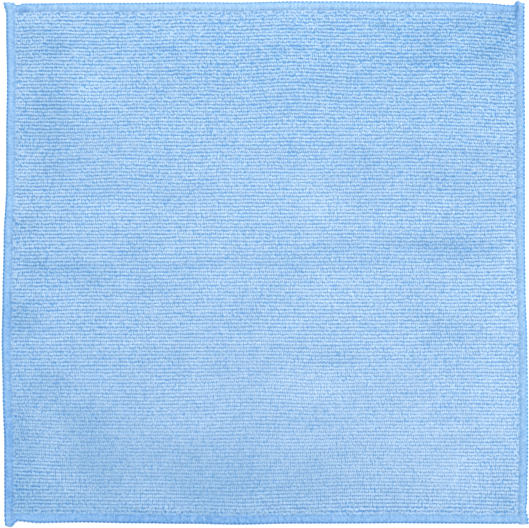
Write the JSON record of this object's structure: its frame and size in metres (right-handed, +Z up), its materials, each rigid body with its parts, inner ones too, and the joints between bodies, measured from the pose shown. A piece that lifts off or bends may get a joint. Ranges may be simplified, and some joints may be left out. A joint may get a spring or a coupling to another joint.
{
  "type": "microfibre cloth",
  "caption": "Square light-blue terry microfibre cleaning cloth with an overlocked edge in yarn of the same blue, lying flat with faint fold creases.",
  "frame": {"origin": "on the surface the cloth lies on, below the middle of its box", "axes": "+Z up out of the cloth, +X along the rows of pile, +Y across them"},
  "size_m": [0.4036, 0.4028, 0.0037],
  "materials": {
    "microfibre": "matt terry pile"
  },
  "bodies": {
    "root": {"cloth": "microfibre"}
  },
  "joints": []
}
